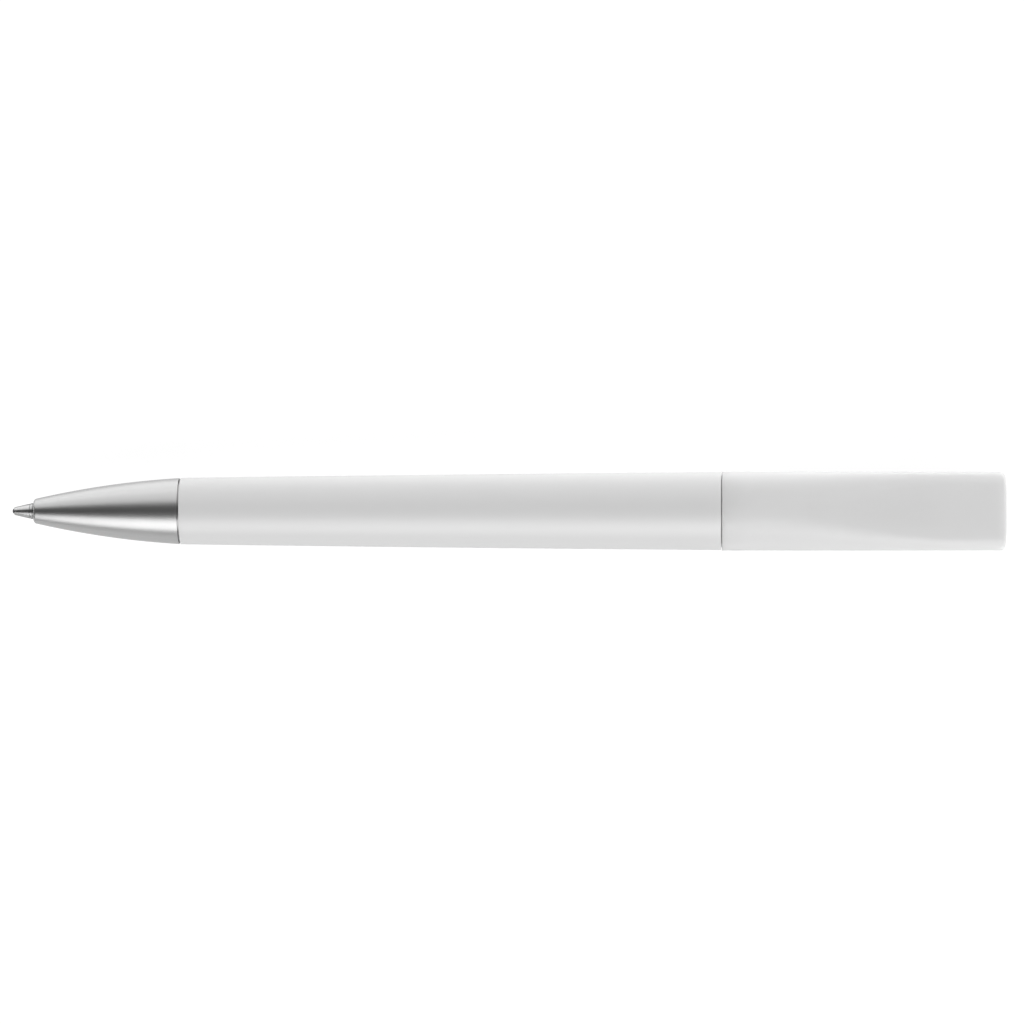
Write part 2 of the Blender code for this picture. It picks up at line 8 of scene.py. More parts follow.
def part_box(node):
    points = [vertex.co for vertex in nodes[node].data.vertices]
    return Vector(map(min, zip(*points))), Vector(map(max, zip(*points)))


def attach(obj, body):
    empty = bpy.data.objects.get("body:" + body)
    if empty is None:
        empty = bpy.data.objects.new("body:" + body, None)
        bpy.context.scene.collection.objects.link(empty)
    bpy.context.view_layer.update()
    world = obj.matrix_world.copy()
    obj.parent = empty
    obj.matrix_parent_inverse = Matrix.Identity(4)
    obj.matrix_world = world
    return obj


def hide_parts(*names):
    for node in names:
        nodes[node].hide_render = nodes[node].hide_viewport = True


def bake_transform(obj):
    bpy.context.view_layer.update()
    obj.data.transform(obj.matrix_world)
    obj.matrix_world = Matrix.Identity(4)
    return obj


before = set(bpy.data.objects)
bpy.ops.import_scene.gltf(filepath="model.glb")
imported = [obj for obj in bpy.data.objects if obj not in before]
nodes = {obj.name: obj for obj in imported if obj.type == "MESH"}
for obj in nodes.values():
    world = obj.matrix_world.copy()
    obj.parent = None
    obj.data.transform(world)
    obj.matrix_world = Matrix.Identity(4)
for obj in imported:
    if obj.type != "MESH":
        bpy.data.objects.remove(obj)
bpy.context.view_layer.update()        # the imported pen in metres: nose to -X, back of the top up, clip face on z = 0
mm = 0.001
mergeGap = 1e-7
creaseAngle = math.radians(35)
white = (1.0, 1.0, 1.0, 1.0)

barrelLow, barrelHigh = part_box("barrel")
noseLow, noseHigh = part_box("nose_cone")
topLow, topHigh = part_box("top_shell")
clipLow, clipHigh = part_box("clip")
tipLow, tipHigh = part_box("refill_tip")
ballLow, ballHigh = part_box("writing_ball")
ferruleLow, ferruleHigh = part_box("refill_ferrule")
tubeLow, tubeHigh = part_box("refill_tube")
plugLow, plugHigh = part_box("refill_plug")
inkLow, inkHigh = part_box("ink")
springLow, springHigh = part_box("return_spring")
guideLow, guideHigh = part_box("guide_sleeve")
retainerLow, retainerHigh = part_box("retaining_ring")
frictionLow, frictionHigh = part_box("friction_ring")
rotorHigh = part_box("cam_rotor")[1]
axisZ = (barrelLow.z + barrelHigh.z) / 2        # the pen's own axis
print(f"frame loaded: {len(nodes)} nodes, axis at {axisZ / mm:.2f} mm")

fit = {"running": 0.1 * mm, "fitted": 0.05 * mm, "seam": 0.2 * mm}        # clearances of the solids
seam = {"lipGap": 0.03 * mm, "lipDepth": 0.5 * mm}        # an inner lip keeps light out of each seam


def halfWidth(low, high):
    return (high.y - low.y) / 2


# node and mesh helpers

def addNode(tree, kind, feeds=(), **settings):        # feeds: input name -> a value or an output
    node = tree.nodes.new(kind)
    for key, value in settings.items():
        setattr(node, key, value)
    for name, source in dict(feeds).items():
        if isinstance(source, bpy.types.NodeSocket):
            tree.links.new(source, node.inputs[name])
        else:
            node.inputs[name].default_value = source
    return node


def sums(tree, operation, *terms):        # one Math node, terms are values or outputs
    node = addNode(tree, "ShaderNodeMath", dict(enumerate(terms)), operation=operation)
    return node.outputs[0]


def newTree(name, sockets):        # a geometry tree with named inputs
    tree = bpy.data.node_groups.new(name, "GeometryNodeTree")
    for label, kind in sockets:
        tree.interface.new_socket(label, in_out="INPUT", socket_type="NodeSocket" + kind)
    tree.interface.new_socket("Piece", in_out="OUTPUT", socket_type="NodeSocketGeometry")
    return tree, tree.nodes.new("NodeGroupInput").outputs


def closeTree(tree, geometry, surface):        # every tree ends smooth, real and with its material
    smooth = addNode(tree, "GeometryNodeSetShadeSmooth", {"Geometry": geometry})
    real = addNode(tree, "GeometryNodeRealizeInstances", {"Geometry": smooth.outputs[0]})
    feeds = {"Geometry": real.outputs[0], "Material": surface}
    painted = addNode(tree, "GeometryNodeSetMaterial", feeds)
    tree.links.new(painted.outputs[0], tree.nodes.new("NodeGroupOutput").inputs[0])


def grow(name, tree, seedMesh, values):        # runs a tree on a mesh and keeps what it makes
    source = bpy.data.objects.new(name + "Source", seedMesh)
    bpy.context.scene.collection.objects.link(source)
    modifier = source.modifiers.new(tree.name, "NODES")
    modifier.node_group = tree
    for item in tree.interface.items_tree:
        if item.in_out == "INPUT" and item.name in values:
            modifier[item.identifier] = values[item.name]
    depsgraph = bpy.context.evaluated_depsgraph_get()
    mesh = bpy.data.meshes.new_from_object(source.evaluated_get(depsgraph), depsgraph=depsgraph)
    source.modifiers.remove(modifier)
    bpy.data.objects.remove(source)
    return keep(name, mesh)


def keep(name, mesh):        # faces out, creases sharp, flats kept flat in the shading
    bm = bmesh.new()
    bm.from_mesh(mesh)
    bmesh.ops.remove_doubles(bm, verts=bm.verts, dist=mergeGap)
    bmesh.ops.recalc_face_normals(bm, faces=bm.faces)
    bm.to_mesh(mesh)
    bm.free()
    mesh.shade_smooth()
    mesh.set_sharp_from_angle(angle=creaseAngle)
    piece = bpy.data.objects.new(name, mesh)
    bpy.context.scene.collection.objects.link(piece)
    weigh = piece.modifiers.new("flats", "WEIGHTED_NORMAL")
    weigh.keep_sharp = True
    depsgraph = bpy.context.evaluated_depsgraph_get()
    weighed = bpy.data.meshes.new_from_object(piece.evaluated_get(depsgraph), depsgraph=depsgraph)
    piece.modifiers.remove(weigh)
    piece.data = weighed
    bpy.data.meshes.remove(mesh)
    weighed.name = name
    return piece


def seat(piece, node, body):        # the piece stands for a node and rides on its body
    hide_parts(node)
    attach(piece, body)


def skin(name, rings, material):        # closed mesh through rings of equally many points
    bm = bmesh.new()
    loops = [[bm.verts.new(point) for point in ring] for ring in rings]
    for a, b in zip(loops, loops[1:]):
        for k in range(len(a)):
            bm.faces.new((a[k - 1], a[k], b[k], b[k - 1]))
    bm.faces.new(loops[0])
    bm.faces.new(loops[-1])
    mesh = bpy.data.meshes.new(name)
    bm.to_mesh(mesh)
    bm.free()
    mesh.materials.append(material)
    return keep(name, mesh)


# outline helpers: points are (x, radius)

def spread(start, end, count):
    return [start + (end - start) * k / count for k in range(count + 1)]


def quarterTurn(steps):
    return spread(0.0, math.pi / 2, steps)


def eased(t):        # smooth step from 0 to 1
    t = min(max(t, 0.0), 1.0)
    return t * t * (3 - 2 * t)


def bowed(start, end, bulge, steps):        # circular arc that stands off its chord by bulge
    start, end = Vector(start), Vector(end)
    chord = (end - start).length
    radius = (chord**2 / 4 + bulge**2) / (2 * bulge)
    along = (end - start) / chord
    out = Vector((-along.y, along.x))
    if out.y < 0:
        out = -out
    middle = (start + end) / 2 - out * (radius - bulge)
    half = math.asin(chord / (2 * radius))
    turns = spread(-half, half, steps)
    return [middle + radius * (along * math.sin(a) + out * math.cos(a)) for a in turns]


def rounded(before, corner, after, radius, steps=6):        # fillet of a corner
    corner = Vector(corner)
    back = (Vector(before) - corner).normalized()
    ahead = (Vector(after) - corner).normalized()
    half = back.angle(ahead) / 2
    reach = radius / math.tan(half)
    centre = corner + (back + ahead).normalized() * (radius / math.sin(half))
    first = corner + back * reach - centre
    sweep = first.angle_signed(corner + ahead * reach - centre)
    return [centre + Matrix.Rotation(-turn, 2) @ first for turn in spread(0.0, sweep, steps)]


# a profile turned round the pen's axis, with an optional helical thread cut into it

def makeTurningTree():
    sockets = [("Outline", "Geometry"), ("Surface", "Material"), ("Facets", "Int")]
    threads = ["Thread " + part for part in ("Start", "End", "Core", "Pitch", "Depth")]
    sockets += [(name, "Float") for name in ["Axis Height", *threads]]
    tree, given = newTree("turnRoundAxis", sockets)
    size = addNode(tree, "GeometryNodeAttributeDomainSize", {"Geometry": given["Outline"]})
    count = size.outputs["Point Count"]
    columns = sums(tree, "ADD", given["Facets"], 1.0)
    grid = addNode(tree, "GeometryNodeMeshGrid", {"Vertices X": columns, "Vertices Y": count})
    index = tree.nodes.new("GeometryNodeInputIndex").outputs[0]
    row = sums(tree, "MODULO", index, count)
    column = sums(tree, "FLOOR", sums(tree, "DIVIDE", index, count))
    turn = sums(tree, "DIVIDE", column, given["Facets"])        # 0 to 1 round the axis
    sample = addNode(tree, "GeometryNodeSampleIndex", data_type="FLOAT_VECTOR")
    tree.links.new(given["Outline"], sample.inputs["Geometry"])
    tree.links.new(tree.nodes.new("GeometryNodeInputPosition").outputs[0], sample.inputs["Value"])
    tree.links.new(row, sample.inputs["Index"])
    split = addNode(tree, "ShaderNodeSeparateXYZ", {0: sample.outputs[0]})
    x, radius = split.outputs["X"], split.outputs["Y"]
    lead = sums(tree, "SUBTRACT", sums(tree, "DIVIDE", x, given["Thread Pitch"]), turn)
    phase = sums(tree, "FRACT", lead)
    groove = sums(tree, "ABSOLUTE", sums(tree, "MULTIPLY_ADD", phase, 2.0, -1.0))        # 1 in the root
    past = sums(tree, "GREATER_THAN", x, given["Thread Start"])
    before = sums(tree, "LESS_THAN", x, given["Thread End"])
    outside = sums(tree, "GREATER_THAN", radius, given["Thread Core"])
    cut = sums(tree, "MULTIPLY", sums(tree, "MULTIPLY", past, before), outside)
    depth = sums(tree, "MULTIPLY", sums(tree, "MULTIPLY", cut, given["Thread Depth"]), groove)
    left = sums(tree, "SUBTRACT", radius, depth)
    angle = sums(tree, "MULTIPLY", turn, math.tau)
    y = sums(tree, "MULTIPLY", left, sums(tree, "SINE", angle))
    z = sums(tree, "MULTIPLY_ADD", left, sums(tree, "COSINE", angle), given["Axis Height"])
    place = addNode(tree, "ShaderNodeCombineXYZ", {"X": x, "Y": y, "Z": z})
    feeds = {"Geometry": grid.outputs[0], "Position": place.outputs[0]}
    turned = addNode(tree, "GeometryNodeSetPosition", feeds)
    feeds = {"Geometry": turned.outputs[0], "Distance": mergeGap}
    closed = addNode(tree, "GeometryNodeMergeByDistance", feeds)
    closeTree(tree, closed.outputs[0], given["Surface"])
    return tree


turningTree = makeTurningTree()


def turnPiece(name, outline, facets, material, thread=None):
    if outline[0][1] > 0:
        outline = [*outline, outline[0]]        # a ring-shaped section closes on itself
    seedMesh = bpy.data.meshes.new(name + "Outline")
    seedMesh.from_pydata([(x, radius, 0.0) for x, radius in outline], [], [])
    values = {"Facets": facets, "Axis Height": axisZ, "Surface": material, "Thread Pitch": mm}
    return grow(name, turningTree, seedMesh, values | (thread or {}))


# finishes: noise on Object coordinates gives each one its tone, gloss and fine relief

noiseLook = {
    "grainDetail": 3.0,
    "cloudDetail": 2.0,
    "range": (0.3, 0.7),        # where most of the noise lies
}


def makeFinish(name, look):
    material = bpy.data.materials.new(name)
    material.use_nodes = True
    tree = material.node_tree
    shader = tree.nodes["Principled BSDF"]
    shader.inputs["Metallic"].default_value = look.get("metallic", 0.0)
    shader.inputs["IOR"].default_value = look.get("ior", 1.5)
    edgeTintAndRimShade = look.get("edgeTintAndRimShade", 1.0)        # a metal's shade where it turns away: its edge tint, set low on the tip as painted shade that darkens the rim's reflection
    shader.inputs["Specular Tint"].default_value = (edgeTintAndRimShade, edgeTintAndRimShade, edgeTintAndRimShade, 1.0)
    if "depth" in look:
        shader.inputs["Subsurface Weight"].default_value = 1.0
        shader.inputs["Subsurface Radius"].default_value = (1.0, 1.0, 1.0)
        shader.inputs["Subsurface Scale"].default_value = look["depth"]
    place = tree.nodes.new("ShaderNodeTexCoord").outputs["Object"]
    scale = [share / look["grain"] for share in look["stretch"]]
    feeds = {"Vector": place, "Scale": scale}
    mapped = addNode(tree, "ShaderNodeMapping", feeds)
    feeds = {"Vector": mapped.outputs[0], "Scale": 1.0, "Detail": noiseLook["grainDetail"]}
    grain = addNode(tree, "ShaderNodeTexNoise", feeds).outputs["Fac"]
    feeds = {"Vector": place, "Scale": 1 / look["cloud"], "Detail": noiseLook["cloudDetail"]}
    cloud = addNode(tree, "ShaderNodeTexNoise", feeds).outputs["Fac"]
    mix = addNode(tree, "ShaderNodeMix", data_type="RGBA")        # its colours: 6 and 7 in, 2 out
    tree.links.new(cloud, mix.inputs[0])
    mix.inputs[6].default_value = (*[c * (1 - look["tone"]) for c in look["colour"]], 1.0)
    mix.inputs[7].default_value = (*[min(c * (1 + look["tone"]), 1.0) for c in look["colour"]], 1.0)
    tree.links.new(mix.outputs[2], shader.inputs["Base Color"])
    low, high = look["roughness"]
    least, most = noiseLook["range"]
    feeds = {"Value": grain, "From Min": least, "From Max": most, "To Min": low, "To Max": high}
    gloss = addNode(tree, "ShaderNodeMapRange", feeds)
    tree.links.new(gloss.outputs[0], shader.inputs["Roughness"])
    feeds = {"Height": grain, "Distance": look["relief"], "Strength": 1.0}
    bump = addNode(tree, "ShaderNodeBump", feeds)
    tree.links.new(bump.outputs[0], shader.inputs["Normal"])
    return material


# barrel: bellied satin tube

barrelLook = {
    "taper": 0.80 * mm,        # rear radius less front radius
    "bulge": 0.06 * mm,        # of the belly over a straight taper
    "frontEdge": 0.06 * mm,
    "rearEdge": 0.04 * mm,
    "wallFront": 0.94 * mm,
    "wallRear": 0.99 * mm,
    "bellySteps": 48,
    "facets": 160,
    "colour": (0.69, 0.69, 0.69),
    "ior": 1.95,        # pearly lacquer
    "tone": 0.008,
    "roughness": (0.46, 0.54),
    "grain": 0.09 * mm,
    "stretch": (1, 1, 1),
    "cloud": 9 * mm,
    "relief": 0.0012 * mm,
}


def makeBarrel(look):
    rearRadius = halfWidth(barrelLow, barrelHigh)
    frontRadius = rearRadius - look["taper"]
    front = Vector((barrelLow.x, frontRadius))
    rear = Vector((barrelHigh.x, rearRadius))
    bore = frontRadius - look["wallFront"]
    counterbore = rearRadius - look["wallRear"]
    step = guideLow.x - fit["fitted"]
    belly = bowed(front, rear, look["bulge"], look["bellySteps"])
    outline = [
        *rounded((front.x, 0.0), front, belly[1], look["frontEdge"]),
        *belly[1:-1],
        *rounded(belly[-2], rear, (rear.x, 0.0), look["rearEdge"]),
        (rear.x, counterbore),
        (step, counterbore),
        (step, bore),
        (front.x, bore),
    ]
    finish = makeFinish("satinWhitePlastic", look)
    return turnPiece("barrelTube", outline, look["facets"], finish)


seat(makeBarrel(barrelLook), "barrel", "barrel")
print("barrel turned")

# nose: satin metal ogive with a threaded spigot

noseLook = {
    "frontRadius": 1.68 * mm,
    "bulge": 0.44 * mm,
    "frontEdge": 0.52 * mm,
    "rearEdge": 0.06 * mm,
    "spigotWall": 0.60 * mm,
    "springPlay": 0.20 * mm,
    "shoulderPlay": 0.60 * mm,
    "neckPlay": 0.20 * mm,
    "neckStep": 0.40 * mm,
    "threadPitch": 0.75 * mm,
    "threadDepth": 0.28 * mm,
    "threadMargin": 0.9 * mm,        # plain ends of the spigot
    "threadSteps": 96,
    "ogiveSteps": 64,
    "frontSteps": 10,
    "facets": 160,
    "colour": (0.42, 0.42, 0.42),
    "metallic": 1.0,
    "edgeTintAndRimShade": 0.9,
    "tone": 0.015,
    "roughness": (0.34, 0.40),
    "grain": 0.05 * mm,
    "stretch": (1, 0.02, 0.02),        # turning marks run round the axis
    "cloud": 6 * mm,
    "relief": 0.0006 * mm,
}


def makeNose(look):
    rear = Vector((barrelLow.x - fit["seam"], halfWidth(noseLow, noseHigh)))
    front = Vector((noseLow.x, look["frontRadius"]))
    tipBore = halfWidth(tipLow, tipHigh) + fit["running"]
    neckBore = tipBore + look["neckStep"]
    springBore = halfWidth(springLow, springHigh) + look["springPlay"]
    runningBore = halfWidth(tubeLow, tubeHigh) + fit["running"]
    spigot = runningBore + look["spigotWall"]
    tipStep = ferruleLow.x - look["neckPlay"]
    springSeat = springLow.x - 2 * fit["fitted"]
    boreStep = springHigh.x - look["shoulderPlay"]
    lip = barrelLow.x - seam["lipGap"]
    ogive = bowed(rear, front, look["bulge"], look["ogiveSteps"])
    outline = [
        *rounded((rear.x, spigot), rear, ogive[1], look["rearEdge"]),
        *ogive[1:-1],
        *rounded(ogive[-2], front, (front.x, 0.0), look["frontEdge"], look["frontSteps"]),
        (front.x, tipBore),
        (tipStep, tipBore),
        (tipStep, neckBore),
        (springSeat, neckBore),
        (springSeat, springBore),
        (boreStep, springBore),
        (boreStep, runningBore),
        (noseHigh.x, runningBore),
        *[(x, spigot) for x in spread(noseHigh.x, lip, look["threadSteps"])],
        (lip, rear.y - seam["lipDepth"]),
        (rear.x, rear.y - seam["lipDepth"]),
    ]
    thread = {
        "Thread Start": rear.x + look["threadMargin"],
        "Thread End": noseHigh.x - look["threadMargin"],
        "Thread Core": (spigot + runningBore) / 2,
        "Thread Pitch": look["threadPitch"],
        "Thread Depth": look["threadDepth"],
    }
    finish = makeFinish("satinNickel", look)
    return turnPiece("noseCone", outline, look["facets"], finish, thread)


seat(makeNose(noseLook), "nose_cone", "barrel")
print("nose turned, with its thread")

# refill: tip, ball, ferrule, tube, plug and ink

tipLook = {
    "rimWall": 0.08 * mm,
    "rimEdge": 0.07 * mm,
    "coneLength": 2.55 * mm,
    "groovePlace": 2.19 * mm,        # from the rim
    "grooveWidth": 0.12 * mm,
    "grooveDepth": 0.06 * mm,
    "baseInset": 0.02 * mm,        # of the cone's base from the shank
    "neckDepth": 0.06 * mm,
    "neckLength": 0.5 * mm,
    "channel": 0.35 * mm,
    "ballPlay": 0.04 * mm,
    "cupSteps": 16,
    "facets": 96,
    "colour": (0.44, 0.44, 0.44),
    "metallic": 1.0,
    # painted shade: a low edge tint darkens the tip's rim, as if it mirrored a shaded floor
    "edgeTintAndRimShade": 0.3,
    "tone": 0.02,
    "roughness": (0.28, 0.34),
    "grain": 0.03 * mm,
    "stretch": (1, 0.02, 0.02),
    "cloud": 2 * mm,
    "relief": 0.0001 * mm,
}


def makeTip(look):
    radius = halfWidth(tipLow, tipHigh)
    neck = radius - look["neckDepth"]
    base = Vector((tipLow.x + look["coneLength"], radius - look["baseInset"]))
    shank = base.x + look["neckLength"]
    ballX = (ballLow.x + ballHigh.x) / 2
    seatRadius = halfWidth(ballLow, ballHigh) + look["ballPlay"]
    rimAngle = math.acos((ballX - tipLow.x) / seatRadius)
    channelAngle = math.pi - math.asin(look["channel"] / seatRadius)
    rim = Vector((tipLow.x, seatRadius * math.sin(rimAngle) + look["rimWall"]))
    groove = rim.lerp(base, look["groovePlace"] / look["coneLength"])
    grooveEnd = rim.lerp(base, (look["groovePlace"] + look["grooveWidth"]) / look["coneLength"])
    grooveFloor = (groove + grooveEnd) / 2 - Vector((0, look["grooveDepth"]))
    cup = []
    for angle in spread(channelAngle, rimAngle, look["cupSteps"]):
        cup.append((ballX - seatRadius * math.cos(angle), seatRadius * math.sin(angle)))
    outline = [
        *rounded((tipLow.x, 0.0), rim, base, look["rimEdge"]),
        groove,
        grooveFloor,
        grooveEnd,
        base,
        (base.x + look["neckDepth"], neck),
        (shank - look["neckDepth"], neck),
        (shank, radius),
        (tipHigh.x, radius),
        (tipHigh.x, look["channel"]),
        *cup,
    ]
    finish = makeFinish("polishedNickel", look)
    return turnPiece("refillTip", outline, look["facets"], finish)


seat(makeTip(tipLook), "refill_tip", "refill")

ballLook = {
    "facets": 64,
    "steps": 48,
    "colour": (0.08, 0.08, 0.085),        # wet with ink
    "metallic": 1.0,
    "tone": 0.08,
    "roughness": (0.12, 0.22),
    "grain": 0.02 * mm,
    "stretch": (1, 1, 1),
    "cloud": 0.2 * mm,
    "relief": 0.0002 * mm,
}


def makeBall(look):
    radius = halfWidth(ballLow, ballHigh)
    middle = (ballLow.x + ballHigh.x) / 2
    outline = []
    for angle in spread(0.0, math.pi, look["steps"]):
        outline.append((middle - radius * math.cos(angle), radius * abs(math.sin(angle))))
    outline[0] = (middle - radius, 0.0)        # the poles lie right on the axis
    outline[-1] = (middle + radius, 0.0)
    finish = makeFinish("sinteredCarbide", look)
    return turnPiece("writingBall", outline, look["facets"], finish)


seat(makeBall(ballLook), "writing_ball", "ball")

ferruleLook = {
    "neckLength": 13.8 * mm,
    "neckRadius": 1.55 * mm,
    "tipSeat": 1.2 * mm,
    "bore": 0.8 * mm,
    "shoulderEdge": 0.4 * mm,
    "crimps": 3,
    "crimpDepth": 0.08 * mm,
    "crimpWidth": 0.3 * mm,
    "crimpSteps": 6,
    "facets": 96,
    "colour": (0.78, 0.60, 0.30),
    "metallic": 1.0,
    "tone": 0.04,
    "roughness": (0.24, 0.36),
    "grain": 0.04 * mm,
    "stretch": (1, 0.02, 0.02),
    "cloud": 3 * mm,
    "relief": 0.0006 * mm,
}


def makeFerrule(look):
    radius = halfWidth(ferruleLow, ferruleHigh)
    spigot = halfWidth(inkLow, inkHigh)
    shoulder = ferruleLow.x + look["neckLength"]
    rear = tubeLow.x - fit["fitted"]
    seatFloor = tipHigh.x + fit["running"]
    neck = [(ferruleLow.x, look["tipSeat"]), (ferruleLow.x, look["neckRadius"])]
    for k in range(look["crimps"]):        # rolled rings that hold the tip
        start = ferruleLow.x + (2 * k + 1) * look["crimpWidth"]
        for t in spread(0.0, 1.0, look["crimpSteps"]):
            low = look["neckRadius"] - look["crimpDepth"] * math.sin(math.pi * t)
            neck.append((start + look["crimpWidth"] * t, low))
    outline = [
        *neck,
        (shoulder, look["neckRadius"]),
        *rounded((shoulder, 0.0), (shoulder, radius), (rear, radius), look["shoulderEdge"]),
        (rear, radius),
        (rear, spigot),
        (ferruleHigh.x, spigot),
        (ferruleHigh.x, look["bore"]),
        (seatFloor, look["bore"]),
        (seatFloor, look["tipSeat"]),
    ]
    finish = makeFinish("turnedBrass", look)
    return turnPiece("refillFerrule", outline, look["facets"], finish)


seat(makeFerrule(ferruleLook), "refill_ferrule", "refill")

tubeLook = {
    "wall": 0.4 * mm,
    "edge": 0.1 * mm,
    "rolled": 1.6 * mm,        # from each end to a rolled groove
    "rollDepth": 0.06 * mm,
    "rollWidth": 0.5 * mm,
    "rollSteps": 8,
    "facets": 128,
    "colour": (0.66, 0.66, 0.67),
    "metallic": 1.0,
    "tone": 0.03,
    "roughness": (0.24, 0.34),
    "grain": 0.05 * mm,
    "stretch": (0.01, 1, 1),        # drawing marks run along the tube
    "cloud": 12 * mm,
    "relief": 0.0005 * mm,
}


def makeTube(look):
    radius = halfWidth(tubeLow, tubeHigh)
    bore = radius - look["wall"]
    outer = []
    for middle in (tubeLow.x + look["rolled"], tubeHigh.x - look["rolled"]):
        for t in spread(-0.5, 0.5, look["rollSteps"]):
            low = radius - look["rollDepth"] * math.cos(math.pi * t)
            outer.append((middle + look["rollWidth"] * t, low))
    outline = [
        (tubeLow.x, bore),
        *rounded((tubeLow.x, bore), (tubeLow.x, radius), outer[0], look["edge"]),
        *outer,
        *rounded(outer[-1], (tubeHigh.x, radius), (tubeHigh.x, bore), look["edge"]),
        (tubeHigh.x, bore),
    ]
    finish = makeFinish("drawnSteel", look)
    return turnPiece("refillTube", outline, look["facets"], finish)


seat(makeTube(tubeLook), "refill_tube", "refill")

plugLook = {
    "radius": 2.1 * mm,
    "vent": 0.5 * mm,
    "edge": 0.2 * mm,
    "facets": 96,
    "colour": (0.35, 0.36, 0.38),
    "tone": 0.03,
    "roughness": (0.40, 0.52),
    "grain": 0.06 * mm,
    "stretch": (1, 1, 1),
    "cloud": 3 * mm,
    "relief": 0.001 * mm,
}


def makePlug(look, finish):
    spigot = halfWidth(plugLow, plugHigh)
    radius = look["radius"]
    step = tubeHigh.x + fit["fitted"]
    outline = [
        (plugLow.x, look["vent"]),
        *rounded((plugLow.x, 0.0), (plugLow.x, spigot), (step, spigot), look["edge"]),
        (step, spigot),
        (step, radius),
        *rounded((step, radius), (plugHigh.x, radius), (plugHigh.x, 0.0), look["edge"]),
        (plugHigh.x, look["vent"]),
    ]
    return turnPiece("refillPlug", outline, look["facets"], finish)


greyAcetal = makeFinish("greyAcetal", plugLook)
seat(makePlug(plugLook, greyAcetal), "refill_plug", "refill")

inkLook = {
    "meniscus": 0.5 * mm,
    "meniscusSteps": 10,
    "facets": 96,
    "colour": (0.02, 0.04, 0.25),
    "tone": 0.10,
    "roughness": (0.10, 0.18),
    "grain": 0.3 * mm,
    "stretch": (0.2, 1, 1),
    "cloud": 4 * mm,
    "relief": 0.0005 * mm,
}


def makeInk(look):
    radius = halfWidth(inkLow, inkHigh)
    outline = [(inkLow.x, 0.0), (inkLow.x, radius)]
    for share in spread(1.0, 0.0, look["meniscusSteps"]):        # the ink's free end is hollow
        outline.append((inkHigh.x - look["meniscus"] * (1 - share**2), radius * share))
    finish = makeFinish("blueInk", look)
    return turnPiece("inkColumn", outline, look["facets"], finish)


seat(makeInk(inkLook), "ink", "refill")
print("refill turned: tip, ball, ferrule, tube, plug and ink")

# return spring: a wire on a helix whose end turns lie close

springLook = {
    "turns": 8,
    "wire": 0.4 * mm,
    "pointsPerTurn": 48,
    "sides": 14,
    "closed": 0.9,        # 0 is an even pitch, 1 closes the end turns
    "colour": (0.50, 0.50, 0.51),
    "metallic": 1.0,
    "tone": 0.04,
    "roughness": (0.22, 0.34),
    "grain": 0.05 * mm,
    "stretch": (1, 1, 1),
    "cloud": 1 * mm,
    "relief": 0.0005 * mm,
}


def makeCoilTree():
    sockets = [("Seed", "Geometry"), ("Surface", "Material"), ("Points", "Int"), ("Sides", "Int")]
    numbers = ("Front", "Rear", "Coil Radius", "Wire Radius", "Turns", "Closed", "Axis Height")
    sockets += [(name, "Float") for name in numbers]
    tree, given = newTree("coilWire", sockets)
    line = tree.nodes.new("GeometryNodeCurvePrimitiveLine")
    feeds = {"Curve": line.outputs[0], "Count": given["Points"]}
    path = addNode(tree, "GeometryNodeResampleCurve", feeds)
    t = tree.nodes.new("GeometryNodeSplineParameter").outputs["Factor"]
    smooth = addNode(tree, "ShaderNodeMapRange", {"Value": t}, interpolation_type="SMOOTHSTEP")
    change = sums(tree, "MULTIPLY", sums(tree, "SUBTRACT", smooth.outputs[0], t), given["Closed"])
    along = sums(tree, "ADD", t, change)
    length = sums(tree, "SUBTRACT", given["Rear"], given["Front"])
    x = sums(tree, "MULTIPLY_ADD", along, length, given["Front"])
    angle = sums(tree, "MULTIPLY", sums(tree, "MULTIPLY", t, given["Turns"]), math.tau)
    radius = given["Coil Radius"]
    y = sums(tree, "MULTIPLY", radius, sums(tree, "COSINE", angle))
    z = sums(tree, "MULTIPLY_ADD", radius, sums(tree, "SINE", angle), given["Axis Height"])
    place = addNode(tree, "ShaderNodeCombineXYZ", {"X": x, "Y": y, "Z": z})
    feeds = {"Geometry": path.outputs[0], "Position": place.outputs[0]}
    helix = addNode(tree, "GeometryNodeSetPosition", feeds)
    feeds = {"Resolution": given["Sides"], "Radius": given["Wire Radius"]}
    section = addNode(tree, "GeometryNodeCurvePrimitiveCircle", feeds)
    feeds = {"Curve": helix.outputs[0], "Profile Curve": section.outputs[0], "Fill Caps": True}
    wire = addNode(tree, "GeometryNodeCurveToMesh", feeds)
    closeTree(tree, wire.outputs[0], given["Surface"])
    return tree


def makeSpring(look):
    finish = makeFinish("springWire", look)
    half = look["wire"] / 2
    values = {
        "Surface": finish,
        "Points": look["turns"] * look["pointsPerTurn"] + 1,
        "Sides": look["sides"],
        "Front": springLow.x + half,
        "Rear": springHigh.x - half,
        "Coil Radius": halfWidth(springLow, springHigh) - half,
        "Wire Radius": half,
        "Turns": float(look["turns"]),
        "Closed": look["closed"],
        "Axis Height": axisZ,
    }
    return grow("returnSpring", makeCoilTree(), bpy.data.meshes.new("springSeed"), values)


spring = makeSpring(springLook)
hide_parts("return_spring")
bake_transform(spring)
print("return spring wound")

# mechanism: rings turned fine, slotted pieces kept as packed and only painted

ringLook = {
    "facets": 128,
    "sides": 24,
    "edge": 0.12 * mm,
    "colour": (0.03, 0.03, 0.03),
    "tone": 0.15,
    "roughness": (0.55, 0.75),
    "grain": 0.05 * mm,
    "stretch": (1, 1, 1),
    "cloud": 1 * mm,
    "relief": 0.002 * mm,
}


